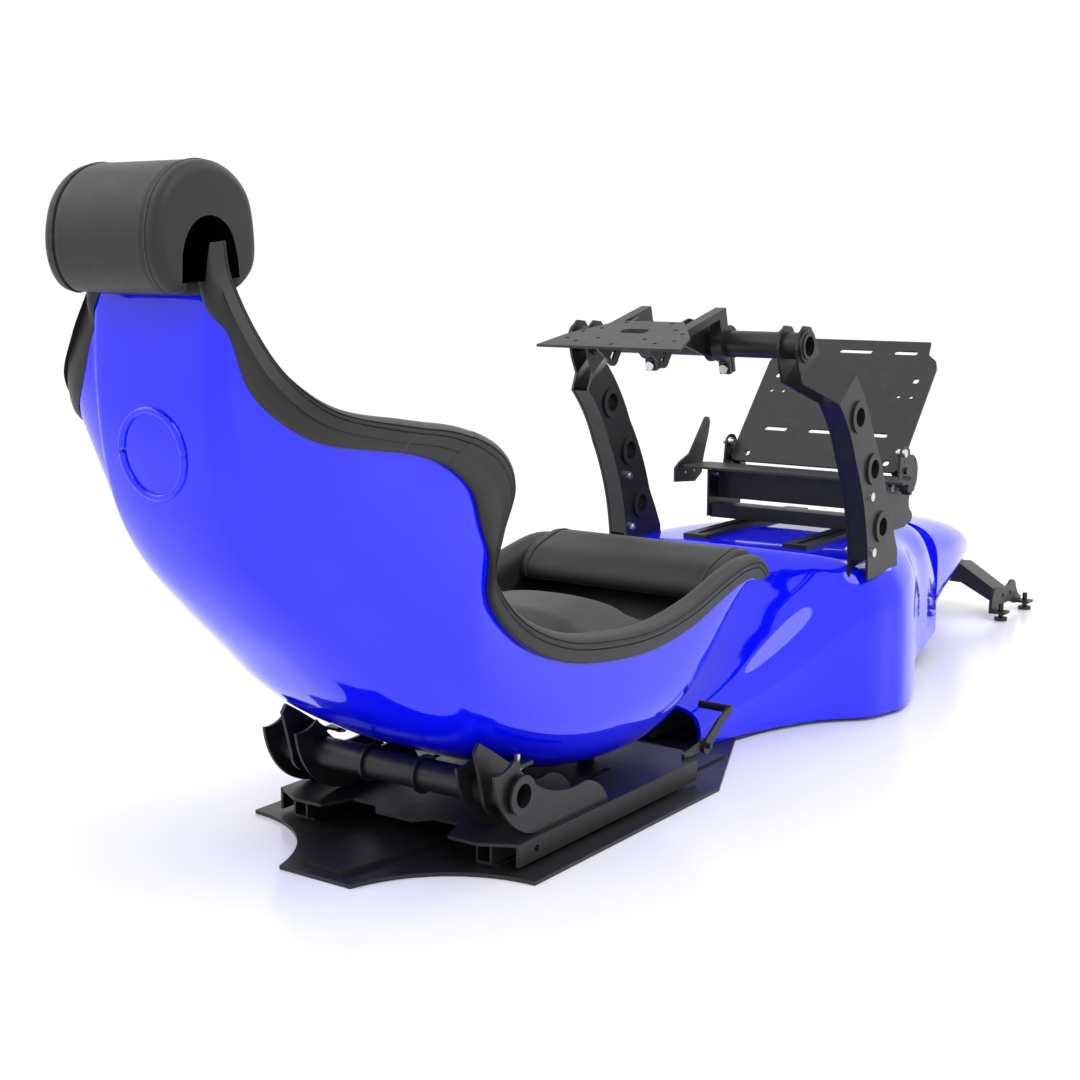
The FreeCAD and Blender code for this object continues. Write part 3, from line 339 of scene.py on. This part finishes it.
# One row per cross-section of the bucket, head end to knee end: the centre of its outer
# skin (y, z), its right rim (x, y, z), how far up the section the leather starts, how square
# the section is, and how far its middle panel stands out.
BUCKET = [
    (-353, 748, 78, -342, 750, 0.30, 2.6, 6),
    (-359, 705, 88, -344, 712, 0.30, 2.5, 10),
    (-364, 650, 120, -343, 658, 0.36, 2.4, 15),
    (-365, 585, 152, -332, 612, 0.35, 2.3, 18),
    (-362, 520, 174, -288, 574, 0.60, 2.3, 18),
    (-350, 455, 185, -205, 552, 0.83, 2.3, 12),
    (-318, 395, 190, -112, 536, 0.87, 2.4, 6),
    (-262, 335, 194, -44, 506, 0.85, 2.5, 0),
    (-195, 276, 195, -18, 462, 0.80, 2.7, 0),
    (-125, 217, 194, -34, 412, 0.90, 2.9, 0),
    (-50, 168, 192, -40, 356, 0.93, 3.1, 0),
    (40, 122, 191, 20, 296, 0.93, 3.2, 0),
    (130, 86, 191, 112, 256, 0.93, 3.2, 0),
    (220, 61, 191, 220, 238, 0.93, 3.2, 0),
    (320, 50, 190, 322, 234, 0.93, 3.2, 0),
    (410, 54, 188, 420, 246, 0.93, 3.2, 0),
    (478, 90, 186, 500, 266, 0.93, 3.2, 0),
    (532, 160, 184, 566, 280, 0.93, 3.2, 0),
    (570, 222, 182, 612, 280, 0.93, 3.2, 0),
    (596, 258, 181, 634, 266, 0.93, 3.2, 0),
]
HUMP_EDGE = (80, 100)
SHELL_WALL = 6


class Bucket:
    """The bucket's smooth surface, asked for by station number and turn from its centre."""

    def __init__(self, rows, samples):
        self.samples = list(samples)
        table = spline_rows(rows, self.samples)
        self.centre = np.column_stack([np.zeros(len(table)), table[:, 0], table[:, 1]])
        self.rim = table[:, 2:5]
        self.leather = table[:, 5]
        self.power = table[:, 6]
        self.hump = np.maximum(table[:, 7], 0.0)
        along = np.gradient(self.centre, axis=0)
        along /= np.linalg.norm(along, axis=1)[:, None]
        self.normal = np.column_stack([np.zeros(len(table)), -along[:, 2], along[:, 1]])
        lift = self.rim - self.centre
        lift[:, 0] = 0
        self.lift = lift / np.linalg.norm(lift, axis=1)[:, None]

    def skin(self, index, turn, outset):
        """A point at turn degrees from the centre line, outset from the outer skin."""
        angle = math.radians(min(abs(turn), 90))
        bend = 2 / self.power[index]
        across = math.sin(angle) ** bend
        rise = 1 - max(math.cos(angle), 0.0) ** bend if abs(turn) < 90 else 1.0
        toward = self.rim[index] - self.centre[index]
        toward[0] = 0
        hump = self.hump[index] / np.linalg.norm(toward)
        rise = rise * (1 - hump) + hump * smooth_step(across * self.rim[index][0], *HUMP_EDGE)
        point = self.centre[index] + toward * rise
        point = point - self.normal[index] * (outset * (1 - rise))
        point[0] = math.copysign(across * (self.rim[index][0] + outset), turn)
        return point

    def turn_at(self, index, rise):
        """The turn in degrees at which the section has risen by this share."""
        return math.degrees(math.acos((1 - rise) ** (self.power[index] / 2)))

    def turn_across(self, index, x):
        """The turn in degrees at which the section is x millimetres off the centre line."""
        share = min(abs(x) / self.rim[index][0], 1.0)
        turn = math.degrees(math.asin(share ** (self.power[index] / 2)))
        return math.copysign(turn, x)


LAST = len(BUCKET) - 1
bucket = Bucket(BUCKET, np.linspace(0, LAST, LAST * 6 + 1))
STATION_COUNT = len(bucket.samples)

SHELL_TURNS = np.linspace(-90, 90, 91)


def shell_ring(index):
    outer = [bucket.skin(index, turn, 0) for turn in SHELL_TURNS]
    inner = [bucket.skin(index, turn, -SHELL_WALL) for turn in SHELL_TURNS]
    return outer + inner[::-1]


shell = swept_piece(
    "seat_shell_skin", [shell_ring(i) for i in range(STATION_COUNT)],
    "blue_gelcoat", "seat",
)
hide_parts("seat_shell")

# The leather liner inside the shell, a small gap off it.
LEATHER_GAP = 0.3
LINER_TURNS = np.linspace(-83, 83, 61)
LINER_SKIN = SHELL_WALL + 2.2


def liner_ring(index):
    outer = [bucket.skin(index, turn, -SHELL_WALL - LEATHER_GAP) for turn in LINER_TURNS]
    inner = [bucket.skin(index, turn, -LINER_SKIN) for turn in LINER_TURNS]
    return outer + inner[::-1]


swept_piece(
    "seat_liner_leather", [liner_ring(i) for i in range(1, STATION_COUNT - 1)],
    "charcoal_leather", "seat",
)

# The leather collar over the head end of the shell, thinner along its lower edge.
COLLAR_ROWS = range(8)
COLLAR_SKIN = 3.0
COLLAR_EDGE = 1.2


def collar_ring(index):
    edge = COLLAR_EDGE if index == COLLAR_ROWS[-1] else COLLAR_SKIN
    outer = [bucket.skin(index, turn, edge) for turn in SHELL_TURNS[1:-1]]
    inner = [bucket.skin(index, turn, LEATHER_GAP) for turn in SHELL_TURNS[1:-1]]
    return outer + inner[::-1]


swept_piece(
    "back_collar_leather", [collar_ring(i) for i in COLLAR_ROWS],
    "charcoal_leather", "seat",
)

# A plain raised ring on the back.
RING_CENTRE_Z = 533
RING_RADIUS = 46
RING_TUBE = 4.5


def on_back(x, z):
    """The point of the outer skin at this distance off the centre line and this height."""
    place = float(np.interp(-z, -bucket.centre[:, 2], np.arange(STATION_COUNT)))
    low = int(place)
    near = bucket.skin(low, bucket.turn_across(low, x), 0)
    far = bucket.skin(low + 1, bucket.turn_across(low + 1, x), 0)
    return near + (far - near) * (place - low)


ring_turns = np.linspace(0, 2 * math.pi, 73)
ring_path = [
    on_back(RING_RADIUS * math.cos(a), RING_CENTRE_Z + RING_RADIUS * math.sin(a))
    for a in ring_turns
]
swept_piece(
    "back_ring_motif", tube_along(ring_path, RING_TUBE, 14), "blue_gelcoat", "seat",
)


# ------------------------------------------------------------------ rim leather

# The roll over the rim, outside to inside: (across, away from the shell).
ROLL = [
    (9.5, -10), (10.5, -2), (11.5, 5), (9.6, 6.2), (11.8, 8), (12.5, 12), (10.0, 14.2),
    (12.0, 16), (9.5, 21), (4, 25), (-4, 26), (-12, 23.5), (-19, 17), (-23, 8), (-23, -4),
]
# The point of the roll along which the stitches run.
SEAM_STEP = 6
# How thick the roll is from the head end on, as a share of its full height.
ROLL_STATIONS = (2, 3, 4, 5)
ROLL_SHARE = (0.35, 0.4, 0.65, 1.0)
# Where one leather length is sewn over the next, and how proud it stands.
SLEEVES = ((5.35, -1.0), (6.25, 1.4))
SLEEVE_STEP = 0.02
LINER_DEPTH = 0.16
# The apron on the outside: how far along it each point lies, and how far it stands off the shell.
APRON_SHARES = (0, 0.04, 0.12, 0.3, 0.5, 0.7, 0.85)
APRON_HEIGHTS = (2.0, 5.5, 7.5, 8.6, 8.9, 8.8, 8.6)
APRON_LOW = (0.2, 0.94)
APRON_TOP = 0.975
TUCK_GAP = 0.5


def sleeve_height(station):
    """How far the leather stands proud of its neighbours along the rim."""
    height = 0.0
    for start, proud in SLEEVES:
        height += proud * smooth_step(station, start - SLEEVE_STEP, start + SLEEVE_STEP)
    return height


def rim_samples():
    """Station numbers along the rim, closer together at the sewn joints."""
    samples = set(np.round(np.linspace(0, LAST, 160), 3))
    for start, _ in SLEEVES:
        samples |= set(np.round(np.linspace(start - 0.05, start + 0.05, 9), 3))
    return sorted(samples)


rim = Bucket(BUCKET, rim_samples())


def rim_ring(index, side):
    """One closed section of the leather: apron, seams, roll, inner liner and back face."""
    proud = sleeve_height(rim.samples[index])
    low = float(np.clip(rim.leather[index], *APRON_LOW))
    turns = [rim.turn_at(index, low + (APRON_TOP - low) * share) for share in APRON_SHARES]
    front = [rim.skin(index, t, h + proud) for t, h in zip(turns, APRON_HEIGHTS)]
    edge = rim.rim[index]
    lift = rim.lift[index]
    thick = np.interp(rim.samples[index], ROLL_STATIONS, ROLL_SHARE)
    for across, rise in ROLL:
        rise = rise * (thick if rise > 0 else 1) + proud * 0.5
        front.append(edge + np.array([across + proud * 0.5, 0, 0]) + lift * rise)
    liner_turn = rim.turn_at(index, 1 - LINER_DEPTH)
    front.append(rim.skin(index, (liner_turn + 88) / 2, -19))
    front.append(rim.skin(index, liner_turn, -17))
    front.append(rim.skin(index, liner_turn - 3, -12))
    back = [
        rim.skin(index, liner_turn, -SHELL_WALL - TUCK_GAP),
        rim.skin(index, 86, -SHELL_WALL - TUCK_GAP),
        edge + lift - np.array([8, 0, 0]),
        edge + lift + np.array([1.0, 0, 0]),
    ]
    back += [rim.skin(index, t, 0.8) for t in reversed(turns)]
    ring = np.array(front + back)
    ring[:, 0] *= side
    return ring


for side_name, side in (("right", RIGHT), ("left", LEFT)):
    rings = [rim_ring(i, side) for i in range(len(rim.samples))]
    if side == LEFT:
        rings = [ring[::-1] for ring in rings]
    trim = swept_piece(
        f"rim_leather_{side_name}", rings, "charcoal_leather", "seat", 60,
    )
    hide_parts(f"rim_trim_{side_name}")
    seam = [
        rim_ring(i, side)[len(APRON_SHARES) + SEAM_STEP] for i in range(4, len(rim.samples))
    ]
    vertices, faces = stitch_mesh([seam])
    mesh_piece(
        f"rim_stitches_{side_name}", vertices, faces, "stitch_thread", "seat"
    )


# ------------------------------------------------------------------ cushions

PAD_STEPS = 48
PAD_CLEARANCE = 8.0
PAD_SECTIONS = 70


def pad_rings(samples, profile, grooves, groove_depth):
    """Closed sections of a cushion that lies in the bucket.

    profile gives thickness at the edge, half turn and crown for a share along the pad.
    """
    cradle = Bucket(BUCKET, samples)
    rings = []
    for index in range(len(samples)):
        share = index / (len(samples) - 1)
        fill, half_turn, crown = profile(share)
        end = math.sin(math.pi * min(max(share, 0.02), 0.98)) ** 0.25
        turns = np.linspace(-half_turn, half_turn, PAD_STEPS // 2 + 1)
        lower = [cradle.skin(index, t, -PAD_CLEARANCE) for t in turns]
        left, right = lower[0], lower[-1]
        normal = cradle.normal[index]
        upper = []
        for step in range(PAD_STEPS + 1):
            s = step / PAD_STEPS
            x_share = 2 * s - 1
            edge_round = (1 - abs(x_share) ** 5) ** 0.5 if abs(x_share) < 1 else 0.0
            height = fill * (0.25 + 0.75 * edge_round) * end + crown * math.sin(math.pi * s) * end
            for groove in grooves:
                height -= groove_depth * math.exp(-((abs(x_share) - groove) / 0.03) ** 2) * end
            upper.append(right + (left - right) * s + normal * height)
        rings.append(lower + upper[1:-1])
    return rings


def cushion(name, node, span, profile, grooves, groove_depth):
    samples = np.linspace(span[0], span[1], PAD_SECTIONS)
    rings = pad_rings(samples, profile, grooves, groove_depth)
    piece = swept_piece(name, rings, "charcoal_leather", "seat", 65)
    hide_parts(node)


def seat_profile(share):
    stations = np.linspace(0, 1, 7)
    fill = np.interp(share, stations, (24, 56, 96, 119, 127, 132, 126))
    half_turn = np.interp(share, stations, (46, 52, 58, 62, 62, 62, 62))
    crown = np.interp(share, stations, (8, 14, 18, 20, 20, 20, 18))
    return fill, half_turn, crown


cushion("seat_cushion_leather", "seat_cushion", (10, 16.5), seat_profile, (0.62, 0.68), 3.5)
cushion("lumbar_cushion_leather", "lumbar_cushion", (6, 9),
        lambda share: (18, 38, 8), (0.6,), 4.0)
cushion("back_cushion_leather", "back_cushion", (2, 5),
        lambda share: (20 + 4 * share, 22 + 3 * share, 5), (0.6,), 4.0)


# ------------------------------------------------------------------ headrest and knee roll

def rounded_outline(corners, spacing=4.0):
    """Points at even spacing along a closed Catmull-Rom curve through (y, z) corners."""
    count = len(corners)
    points = []
    for index in range(count):
        p0, p1, p2, p3 = (np.array(corners[(index + k - 1) % count], float) for k in range(4))
        steps = max(2, int(np.linalg.norm(p2 - p1) / spacing))
        for step in range(steps):
            t = step / steps
            points.append(0.5 * (2 * p1 + (p2 - p0) * t + (2 * p0 - 5 * p1 + 4 * p2 - p3) * t ** 2
                                 + (3 * p1 - p0 - 3 * p2 + p3) * t ** 3))
    return np.array(points)


def inset_outline(outline, amount):
    """The outline moved inward along its own normals."""
    tangent = np.roll(outline, -1, axis=0) - np.roll(outline, 1, axis=0)
    tangent /= np.linalg.norm(tangent, axis=1)[:, None]
    normal = np.column_stack([-tangent[:, 1], tangent[:, 0]])
    area = np.sum(outline[:, 0] * np.roll(outline[:, 1], -1)
                  - np.roll(outline[:, 0], -1) * outline[:, 1])
    return outline + normal * amount * (1 if area > 0 else -1)


WELT_RADIUS = 1.3
WELT_OFFSET = 2.2
WELT_SINK = 0.2


def bolster(name, node, outline, half_width, edge_radius, seam_x):
    """A padded roll along X with rounded ends and a welt near each end."""
    rings = []
    inner = np.linspace(-half_width + edge_radius, half_width - edge_radius, 40)
    bend = [math.pi / 2 * k / 6 for k in range(7)]
    stations = [(-half_width + edge_radius - edge_radius * math.sin(a),
                 edge_radius * (1 - math.cos(a))) for a in reversed(bend)]
    for x in inner[1:-1]:
        groove = 1.6 * math.exp(-((abs(x) - seam_x) / 1.6) ** 2)
        stations.append((x, groove))
    stations += [(half_width - edge_radius + edge_radius * math.sin(a),
                  edge_radius * (1 - math.cos(a))) for a in bend]
    for x, amount in stations:
        section = inset_outline(outline, amount)
        rings.append([(x, y, z) for y, z in section])
    piece = swept_piece(name, rings, "charcoal_leather", "seat", 60)
    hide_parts(node)
    section = inset_outline(outline, WELT_SINK)
    for label, side in (("left", LEFT), ("right", RIGHT)):
        path = [(side * (seam_x + WELT_OFFSET), y, z) for y, z in section]
        swept_piece(
            f"{name}_welt_{label}", tube_along(path + path[:2], WELT_RADIUS), "piping_leather",
            "seat",
        )


HEADREST = [
    (-382, 703), (-378, 738), (-368, 757), (-352, 763), (-337, 755), (-330, 734), (-326, 708),
    (-312, 703), (-290, 722), (-285, 752), (-293, 796), (-318, 822), (-352, 831), (-388, 821),
    (-414, 794), (-424, 757), (-420, 724), (-404, 703),
]
bolster("headrest_leather", "headrest", rounded_outline(HEADREST), 86, 13, 66)

KNEE_ROLL = [
    (514, 252), (516, 272), (538, 292), (574, 304), (610, 311), (642, 302), (663, 277),
    (655, 263), (640, 265), (616, 273), (592, 270), (560, 246), (534, 245),
]
bolster("knee_roll_leather", "knee_roll", rounded_outline(KNEE_ROLL), 168, 9, 150)


# ------------------------------------------------------------------ front body

# Stations of the body: y, half width at the bottom, top z, bottom z, squareness.
BODY = [
    (596, 112, 66, 6, 4.0),
    (700, 136, 108, 6, 4.0),
    (780, 166, 158, 6, 4.2),
    (840, 198, 206, 6, 4.8),
    (893, 246, 256, 6, 6.0),
    (940, 262, 259, 6, 7.0),
    (990, 268, 259, 6, 7.0),
    (1080, 246, 259, 16, 7.0),
    (1200, 196, 259, 30, 6.0),
    (1310, 172, 257, 38, 5.5),
    (1400, 152, 246, 44, 3.6),
]
NOSE = [
    (1400, 152, 246, 44, 3.6),
    (1540, 132, 232, 84, 2.8),
    (1660, 104, 210, 104, 2.4),
    (1750, 76, 184, 108, 2.2),
    (1810, 52, 160, 108, 2.1),
    (1848, 24, 132, 106, 2.0),
]
BODY_WALL = 5
BODY_STEPS = 40
DECK_TOP = 259.0
ROWS_PER_GAP = 10


def body_loop(row, inset, closed):
    """A superellipse section of the front body: an arch open below, or a closed ring."""
    y, half_width, top, bottom, power = row
    half_width -= inset
    top -= inset
    middle = (top + bottom) / 2 if closed else bottom
    first = -BODY_STEPS if closed else 0
    points = []
    for step in range(first, BODY_STEPS + (0 if closed else 1)):
        angle = math.pi * step / BODY_STEPS
        x = math.copysign(abs(math.cos(angle)) ** (2 / power), math.cos(angle)) * half_width
        z = math.copysign(abs(math.sin(angle)) ** (2 / power), math.sin(angle)) * (top - middle)
        points.append((x, y, middle + z))
    return points


def body_rows(rows):
    """The table's rows with smooth rows in between, none of them above the deck."""
    gaps = len(rows) - 1
    table = spline_rows(rows, np.linspace(0, gaps, gaps * ROWS_PER_GAP + 1))
    table[:, 2] = np.minimum(table[:, 2], DECK_TOP)
    return table


fairing_rings = [
    body_loop(row, 0, False) + body_loop(row, BODY_WALL, False)[::-1]
    for row in body_rows(BODY)
]
fairing = swept_piece(
    "fairing_skin", fairing_rings, "blue_gelcoat", "chassis", 60,
)
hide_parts("fairing_shell")
nose_rings = [body_loop(row, 0, True) for row in body_rows(NOSE)]
nose = swept_piece("nose_skin", nose_rings, "blue_gelcoat", "chassis", 60)
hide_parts("nose_cone")


# ------------------------------------------------------------------ room, light and camera

FLOOR_REACH = 14.0
FLOOR_LEVEL = -0.0005


def flat_floor():
    """A pale glossy studio floor."""
    mesh = bpy.data.meshes.new("studio_floor")
    corners = [(-1, -1), (1, -1), (1, 1), (-1, 1)]
    corners = [(x * FLOOR_REACH, y * FLOOR_REACH, FLOOR_LEVEL) for x, y in corners]
    mesh.from_pydata(corners, [], [(0, 1, 2, 3)])
    n = Nodes("studio_floor")
    tone = n.blend(n.noise(1.5), grey(0.93), grey(0.95))
    rough = n.ramp(n.noise(6.0), 0.16, 0.22)
    mesh.materials.append(n.finish(Base_Color=tone, Roughness=rough, Specular_IOR_Level=0.35))
    floor = bpy.data.objects.new("studio_floor", mesh)
    bpy.context.scene.collection.objects.link(floor)


def soft_light(name, place, aim, width, watts):
    data = bpy.data.lights.new(name, "AREA")
    data.shape = "DISK"
    data.size = width
    data.energy = watts
    lamp = bpy.data.objects.new(name, data)
    lamp.location = place
    lamp.rotation_euler = (Vector(aim) - Vector(place)).to_track_quat("-Z", "Y").to_euler()
    bpy.context.scene.collection.objects.link(lamp)


flat_floor()
soft_light("key_light", (2.2, -1.0, 3.6), (0, -0.2, 0.3), 2.6, 55)
soft_light("fill_light", (-2.6, -2.2, 2.8), (0, -0.2, 0.3), 3.0, 28)
soft_light("front_light", (0.6, 3.4, 3.0), (0, 0.4, 0.3), 2.6, 34)

world = bpy.data.worlds.new("studio")
world.use_nodes = True
world.node_tree.nodes["Background"].inputs["Color"].default_value = (1, 1, 1, 1)
world.node_tree.nodes["Background"].inputs["Strength"].default_value = 1.05
bpy.context.scene.world = world
bpy.context.scene.view_settings.view_transform = "Standard"

CAMERA_PLACE = (1342, -1569, 741)
CAMERA_YAW = 35.178
CAMERA_PITCH = 9.613
camera_data = bpy.data.cameras.new("camera")
camera_data.lens = 56.89
camera_data.sensor_width = 36
camera_data.clip_end = 60
camera = bpy.data.objects.new("camera", camera_data)
camera.location = to_metres([CAMERA_PLACE])[0]
camera.rotation_euler = (math.radians(90 - CAMERA_PITCH), 0, math.radians(CAMERA_YAW))
bpy.context.scene.collection.objects.link(camera)
bpy.context.scene.camera = camera
